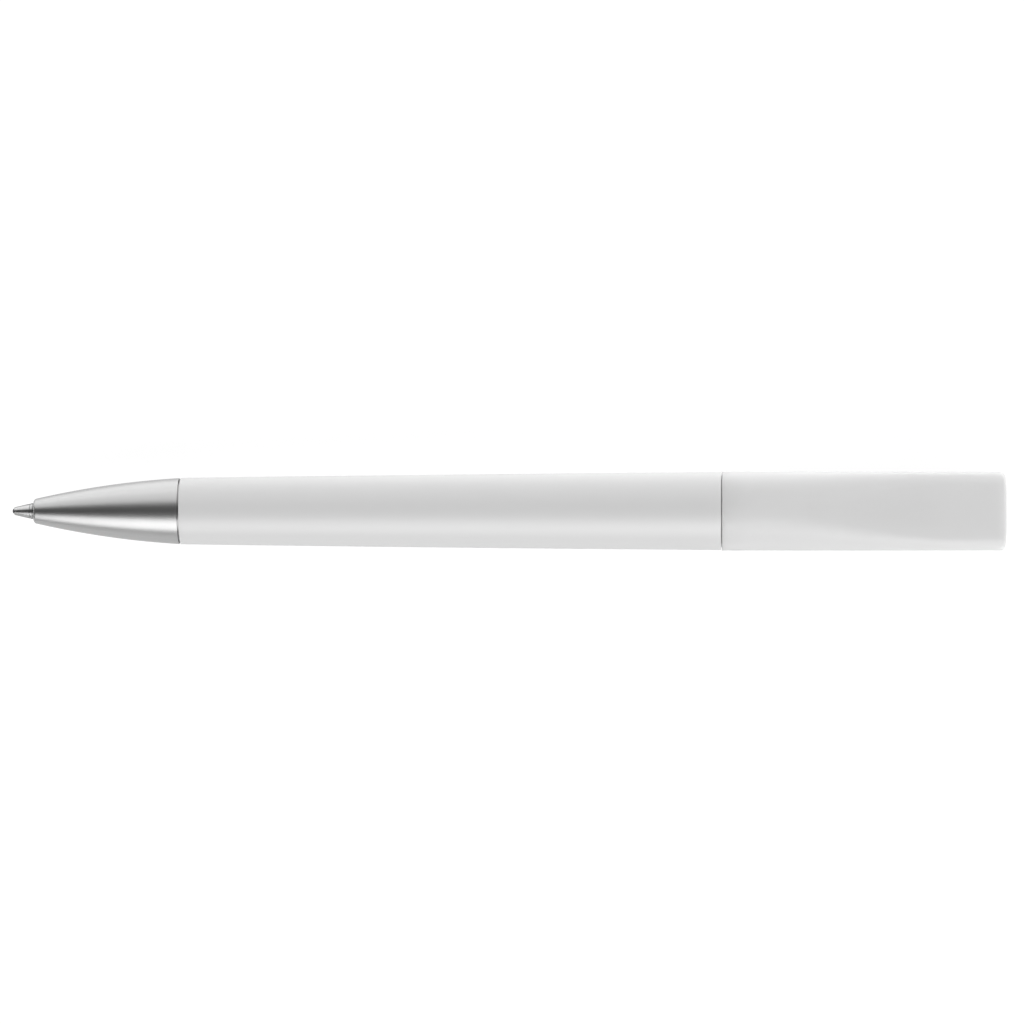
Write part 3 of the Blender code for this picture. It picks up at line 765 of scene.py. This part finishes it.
def makeFrictionRing(look):
    half = (frictionHigh.x - frictionLow.x) / 2
    middle = (frictionHigh.x + frictionLow.x) / 2
    ringRadius = halfWidth(frictionLow, frictionHigh) - half
    outline = []
    for k in range(look["sides"]):
        angle = math.tau * k / look["sides"]
        outline.append((middle + half * math.cos(angle), ringRadius + half * math.sin(angle)))
    finish = makeFinish("darkRubber", look)
    return turnPiece("frictionRing", outline, look["facets"], finish)


def makeRetainer(look, finish):
    bore = halfWidth(tubeLow, tubeHigh) + fit["running"]
    radius = halfWidth(retainerLow, retainerHigh)
    front, rear = retainerLow.x, retainerHigh.x
    corners = [(front, bore), (front, radius), (rear, radius), (rear, bore)]
    outline = []
    for k, corner in enumerate(corners):
        after = corners[(k + 1) % len(corners)]
        outline += rounded(corners[k - 1], corner, after, look["edge"])
    return turnPiece("retainingRing", outline, look["facets"], finish)


seat(makeFrictionRing(ringLook), "friction_ring", "barrel")
retainer = makeRetainer(ringLook, spring.data.materials[0])
seat(retainer, "retaining_ring", "barrel")

sleeveLook = {
    "colour": (0.80, 0.80, 0.77),
    "tone": 0.02,
    "roughness": (0.38, 0.50),
    "grain": 0.08 * mm,
    "stretch": (1, 1, 1),
    "cloud": 4 * mm,
    "relief": 0.001 * mm,
}


def repaint(node, material):
    slots = nodes[node].data.materials
    slots.clear()
    slots.append(material)


repaint("guide_sleeve", makeFinish("paleAcetal", sleeveLook))
repaint("cam_rotor", greyAcetal)
repaint("slider", greyAcetal)
print("mechanism finished")

# turning top: round at the seam, flat wedge at the end

topLook = {
    "collar": 2.9 * mm,
    "ease": 14 * mm,        # length over which the back bends into its slope
    "endHeight": 2.1 * mm,
    "backFlatten": 30 * mm,        # lengths over which the circle gets its corners
    "frontFlatten": 15 * mm,
    "backEdge": 1.75 * mm,
    "frontEdge": 0.35 * mm,
    "endEdge": 0.55 * mm,
    "endCorner": 0.85 * mm,        # of the end, seen from the back
    "seamEdge": 0.04 * mm,
    "seamReach": 0.08 * mm,        # the collar closes the seam to a fine line
    "leastEdge": 0.1 * mm,
    "journal": 4.55 * mm,        # radii of the hollow, from the seam inwards
    "socket": 3.85 * mm,
    "core": 3.35 * mm,
    "coreEnd": 2.4 * mm,        # half width where the core stops
    "coreSetback": 10 * mm,
    "wall": 1.3 * mm,        # over the core
    "crown": 0.14 * mm,        # swell of the end face
    "cornerSteps": 23,
    "flatSteps": 10,
    "wedgeSteps": 72,
    "endSteps": 4,
    "edgeSteps": 7,
    "coreSteps": 8,
    "colour": (0.745, 0.745, 0.745),
    "ior": 1.42,
    "depth": 2.0 * mm,        # how far light spreads inside the plastic
    "tone": 0.006,
    "roughness": (0.40, 0.48),
    "grain": 0.12 * mm,
    "stretch": (0.3, 1, 1),
    "cloud": 10 * mm,
    "relief": 0.0006 * mm,
}
topRadius = halfWidth(topLow, topHigh)
wedgeStart = topLow.x + topLook["collar"]
wedgeSlope = (2 * topRadius - topLook["endHeight"]) / (topHigh.x - wedgeStart - topLook["ease"] / 2)


def backHeight(x):        # of the top's back over the axis
    past = x - wedgeStart
    if past <= 0:
        return topRadius
    if past < topLook["ease"]:
        return topRadius - wedgeSlope * past**2 / (2 * topLook["ease"])
    return topRadius - wedgeSlope * (past - topLook["ease"] / 2)


def boxRing(x, half, high, low, upper, lower):        # its own corner radius above and below
    ring = []
    for quarter in range(4):
        above = quarter < 2
        radius = upper if above else lower
        y = half - radius if quarter in (0, 3) else radius - half
        z = axisZ + (high - radius if above else low + radius)
        for angle in spread(quarter * math.pi / 2, (quarter + 1) * math.pi / 2, topLook["cornerSteps"]):
            ring.append((x, y + radius * math.cos(angle), z + radius * math.sin(angle)))
        if quarter in (0, 2):        # across the flat to the next corner
            for share in spread(1.0, -1.0, topLook["flatSteps"])[1:-1]:
                ring.append((x, y * share, axisZ + (high if above else low)))
    return ring


def roundRing(x, radius):
    return boxRing(x, radius, radius, -radius, radius, radius)


def endHalf(x):        # half width of the top, with the end's corners rounded
    corner = topLook["endCorner"]
    past = min(max(x - topHigh.x + corner, 0.0), corner)
    return topRadius - corner + math.sqrt(corner**2 - past**2)


def topRing(x, inset=0.0, at=None):        # section of the top at x, drawn in by inset
    look = topLook
    past = x - wedgeStart
    high = backHeight(x)
    front = topRadius + (look["frontEdge"] - topRadius) * eased(past / look["frontFlatten"])
    back = topRadius + (look["backEdge"] - topRadius) * eased(past / look["backFlatten"])
    back = min(back, high + topRadius - front)
    upper = max(back - inset, look["leastEdge"])
    lower = max(front - inset, look["leastEdge"])
    place = x if at is None else at
    return boxRing(place, endHalf(place), high - inset, inset - topRadius, upper, lower)


def makeTop(look):
    front = topLow.x - look["seamReach"]
    wedgeEnd = topHigh.x - look["endEdge"]
    socketFront = guideHigh.x + fit["seam"]
    socketRear = rotorHigh.x + fit["seam"]
    coreEnd = topHigh.x - look["coreSetback"]
    rings = []
    for x in spread(coreEnd, socketRear, look["coreSteps"]):
        share = (x - socketRear) / (coreEnd - socketRear)
        half = look["core"] + (look["coreEnd"] - look["core"]) * share
        high = min(look["core"], backHeight(x) - look["wall"])
        radius = min(half, (high + look["core"]) / 2)
        rings.append(boxRing(x, half, high, -look["core"], radius, radius))
    rings += [roundRing(x, look["socket"]) for x in (socketRear, socketFront)]
    lip = barrelHigh.x + seam["lipGap"]
    rings += [roundRing(x, look["journal"]) for x in (socketFront, lip)]
    rings += [roundRing(x, topRadius - seam["lipDepth"]) for x in (lip, front)]
    turns = quarterTurn(look["edgeSteps"])
    for angle in turns:
        x = front + look["seamEdge"] * (1 - math.cos(angle))
        rings.append(roundRing(x, topRadius - look["seamEdge"] * (1 - math.sin(angle))))
    cornerStart = topHigh.x - look["endCorner"]
    rings += [topRing(x) for x in spread(wedgeStart, cornerStart, look["wedgeSteps"])]
    rings += [topRing(x) for x in spread(cornerStart, wedgeEnd, look["endSteps"])[1:]]
    for angle in turns[1:]:
        inset = look["endEdge"] * (1 - math.cos(angle))
        swell = look["crown"] * math.sin(angle)
        ring = topRing(wedgeEnd, inset, wedgeEnd + look["endEdge"] * math.sin(angle))
        rings.append([(x + swell * (1 - (y / topRadius)**2), y, z) for x, y, z in ring])
    finish = makeFinish("smoothWhitePlastic", look)
    return skin("topShell", rings, finish), finish


top, smoothWhite = makeTop(topLook)
seat(top, "top_shell", "top")
print("turning top lofted")

# clip: flat blade on a foot under the end of the top, with a nub near its free end

clipLook = {
    "thickness": 1.45 * mm,
    "corner": 2.0 * mm,
    "edge": 0.3 * mm,
    "footLength": 6.0 * mm,
    "footFillet": 0.7 * mm,
    "nubGap": 0.25 * mm,        # between the nub and the top
    "nubLength": 3.0 * mm,
    "nubWidth": 5.0 * mm,
    "nubSide": 0.5 * mm,
    "nubSetback": 0.4 * mm,
    "cornerSteps": 12,
    "edgeSteps": 6,
    "nubSteps": 18,
    "nubSideSteps": 8,
    "bladeSteps": 24,
    "filletSteps": 6,
    "endSteps": 5,
}


def clipRing(x, half, inner, outer, nub=0.0):
    look = clipLook
    nubHalf = min(look["nubWidth"] / 2, half - 2 * look["edge"])
    turns = quarterTurn(look["edgeSteps"])
    rounding = [(look["edge"] * (1 - math.cos(a)), look["edge"] * (1 - math.sin(a))) for a in turns]
    right = [(half - across, inner - down) for across, down in rounding]
    below = [(half - across, outer + up) for across, up in reversed(rounding)]
    shares = spread(0.0, 1.0, look["nubSideSteps"])
    crest = [(nubHalf - look["nubSide"] * t, inner + nub * eased(t)) for t in shares]
    side = below + right + crest
    ring = side + [(-y, z) for y, z in reversed(side)]
    return [(x, y, z) for y, z in ring]


def makeClip(look, finish):
    outer = clipLow.z
    inner = outer + look["thickness"]
    footTop = clipHigh.z
    nub = topLow.z - look["nubGap"] - inner
    half = halfWidth(clipLow, clipHigh)
    nubFront = clipLow.x + look["corner"] + look["nubSetback"]
    footRear = topHigh.x - topLook["endEdge"]
    footFront = footRear - look["footLength"]
    filletFront = footFront - look["footFillet"]
    rings = []
    for angle in quarterTurn(look["cornerSteps"]):
        x = clipLow.x + look["corner"] * (1 - math.cos(angle))
        rings.append(clipRing(x, half - look["corner"] * (1 - math.sin(angle)), inner, outer))
    for share in spread(0.0, 1.0, look["nubSteps"]):
        x = nubFront + look["nubLength"] * share
        rings.append(clipRing(x, half, inner, outer, nub * math.sin(math.pi * share)))
    blade = spread(nubFront + look["nubLength"], filletFront, look["bladeSteps"])
    rings += [clipRing(x, half, inner, outer) for x in blade[1:-1]]
    for angle in quarterTurn(look["filletSteps"]):
        x = footFront - look["footFillet"] * (1 - math.sin(angle))
        rings.append(clipRing(x, half, inner + look["footFillet"] * (1 - math.cos(angle)), outer))
    rings.append(clipRing(footFront, half, footTop, outer))
    rings.append(clipRing(footRear, half, footTop, outer))
    reach = clipHigh.x - footRear
    for angle in quarterTurn(look["endSteps"])[1:]:
        x = footRear + reach * math.sin(angle)
        inset = reach * (1 - math.cos(angle))
        rings.append(clipRing(x, half - inset, footTop - inset, outer + inset))
    return skin("pocketClip", rings, finish), footFront


clip, clipRoot = makeClip(clipLook, smoothWhite)
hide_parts("clip")
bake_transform(clip)
print("clip lofted")

# stage: the floor follows the clip's free end and the barrel's front edge, on which the pen would lie

stageLook = {
    "clipRoom": 2.5 * mm,        # below the pen, for the clip to spring out
    "floorRadius": 0.6,
    "floorSides": 96,
    "paperShade": 0.15,        # takes the pen's shadow, under the glow
    "seenGlow": 0.93,        # white to the camera and in reflections
    "castGlow": 0.06,        # what the paper throws on to the pen
    "fill": 0.02,        # light from all round
}
lampLook = {        # turn and arc in degrees, as seen from the pen; span in metres along it
    "frontPanel": {"turn": 52, "arc": 44, "span": (-0.50, 1.0), "glow": 3.0},
    "backPanel": {"turn": -53, "arc": 44, "span": (-1.0, 1.0), "glow": 1.42},
    "backStrip": {"turn": -81, "arc": 14, "span": (-1.0, 1.0), "glow": 2.0},
}
lampReach = 0.7        # from the pen's axis
sheetLook = {        # lit sheets on the floor, in metres along and across from the clip's free end
    "backSheet": {"along": (-1.0, 1.0), "across": (0.013, 0.463), "lift": 0.2 * mm, "glow": 0.92},
    "endSheet": {"along": (0.04, 0.49), "across": (-0.03, 0.45), "lift": 0.3 * mm, "glow": 1.0},
}
cameraLook = {
    "distance": 0.91,
    "tilt": math.radians(1.92),        # towards the top's end, from square to the pen
    "frameWidth": 144.08 * mm,
    "aim": (0.49 * mm, -0.13 * mm),        # from the middle of the pen
    "sensor": 36.0,
    "farClip": 10.0,
}


def makePaper(look):
    material = bpy.data.materials.new("whitePaper")
    material.use_nodes = True
    material.cycles.emission_sampling = "NONE"
    tree = material.node_tree
    tree.nodes.remove(tree.nodes["Principled BSDF"])
    rays = tree.nodes.new("ShaderNodeLightPath").outputs
    mirrored = sums(tree, "MAXIMUM", rays["Is Glossy Ray"], rays["Is Transmission Ray"])
    seen = sums(tree, "MAXIMUM", rays["Is Camera Ray"], mirrored)
    glow = sums(tree, "MULTIPLY_ADD", seen, look["seenGlow"] - look["castGlow"], look["castGlow"])
    light = addNode(tree, "ShaderNodeEmission", {"Color": white, "Strength": glow})
    paper = addNode(tree, "ShaderNodeBsdfDiffuse", {"Color": (*[look["paperShade"]] * 3, 1.0)})
    both = addNode(tree, "ShaderNodeAddShader", {0: light.outputs[0], 1: paper.outputs[0]})
    tree.links.new(both.outputs[0], tree.nodes["Material Output"].inputs["Surface"])
    return material


def floorPlace(look):        # under the clip's free end, turned to follow the barrel's front edge
    barrelFoot = axisZ - halfWidth(barrelLow, barrelHigh) + barrelLook["taper"]
    contact = Vector((clipLow.x + clipLook["edge"], 0.0, clipLow.z))
    tilt = math.atan2(barrelFoot - contact.z, contact.x - barrelLow.x)
    foot = contact - Vector((0, 0, look["clipRoom"]))
    return Matrix.Translation(foot) @ Matrix.Rotation(tilt, 4, "Y")


def makeFloor(look):
    bm = bmesh.new()
    bmesh.ops.create_circle(bm, cap_ends=True, segments=look["floorSides"], radius=look["floorRadius"])
    bmesh.ops.transform(bm, matrix=floorPlace(look), verts=bm.verts)
    mesh = bpy.data.meshes.new("paperFloor")
    bm.to_mesh(mesh)
    bm.free()
    mesh.materials.append(makePaper(look))
    floor = bpy.data.objects.new("paperFloor", mesh)
    bpy.context.scene.collection.objects.link(floor)


def placeLamp(name, length, breadth, glow, place):
    light = bpy.data.lights.new(name, "AREA")
    light.shape = "RECTANGLE"
    light.size, light.size_y = length, breadth
    light.energy = glow * math.pi * length * breadth        # glow is a brightness, whatever the size
    lamp = bpy.data.objects.new(name, light)
    bpy.context.scene.collection.objects.link(lamp)
    lamp.matrix_world = place
    lamp.visible_camera = False


def makeLamps(lamps):        # each panel lies along the pen and is swung round it
    for name, look in lamps.items():
        start, end = look["span"]
        breadth = 2 * lampReach * math.tan(math.radians(look["arc"]) / 2)
        middle = Matrix.Translation(((start + end) / 2, 0, axisZ))
        swing = Matrix.Rotation(math.radians(look["turn"]), 4, "X")
        place = middle @ swing @ Matrix.Translation((0, 0, lampReach))
        placeLamp(name, end - start, breadth, look["glow"], place)


def makeSheets(sheets):
    face = Matrix.Rotation(math.pi, 4, "X")        # a lamp shines down, these shine up
    for name, look in sheets.items():
        left, right = look["along"]
        near, far = look["across"]
        middle = Matrix.Translation(((left + right) / 2, (near + far) / 2, look["lift"]))
        place = floorPlace(stageLook) @ middle @ face
        placeLamp(name, right - left, far - near, look["glow"], place)


def makeWorld(look):
    world = bpy.data.worlds.new("studio")
    bpy.context.scene.world = world
    world.use_nodes = True
    tree = world.node_tree
    rays = tree.nodes.new("ShaderNodeLightPath").outputs
    strength = sums(tree, "MULTIPLY_ADD", rays["Is Camera Ray"], 1.0 - look["fill"], look["fill"])
    background = tree.nodes["Background"]
    background.inputs["Color"].default_value = white
    tree.links.new(strength, background.inputs["Strength"])


def makeCamera(look):
    data = bpy.data.cameras.new("camera")
    data.sensor_width = look["sensor"]
    data.lens = look["sensor"] * look["distance"] / look["frameWidth"]
    data.clip_end = look["farClip"]
    camera = bpy.data.objects.new("camera", data)
    bpy.context.scene.collection.objects.link(camera)
    camera.rotation_euler = (0.0, look["tilt"], 0.0)
    back = camera.rotation_euler.to_matrix() @ Vector((0, 0, 1))
    camera.location = Vector((*look["aim"], axisZ)) + back * look["distance"]
    bpy.context.scene.camera = camera


makeFloor(stageLook)
makeLamps(lampLook)
makeSheets(sheetLook)
makeWorld(stageLook)
makeCamera(cameraLook)
bpy.context.scene.view_settings.view_transform = "Standard"
print("stage, lamps and camera set")
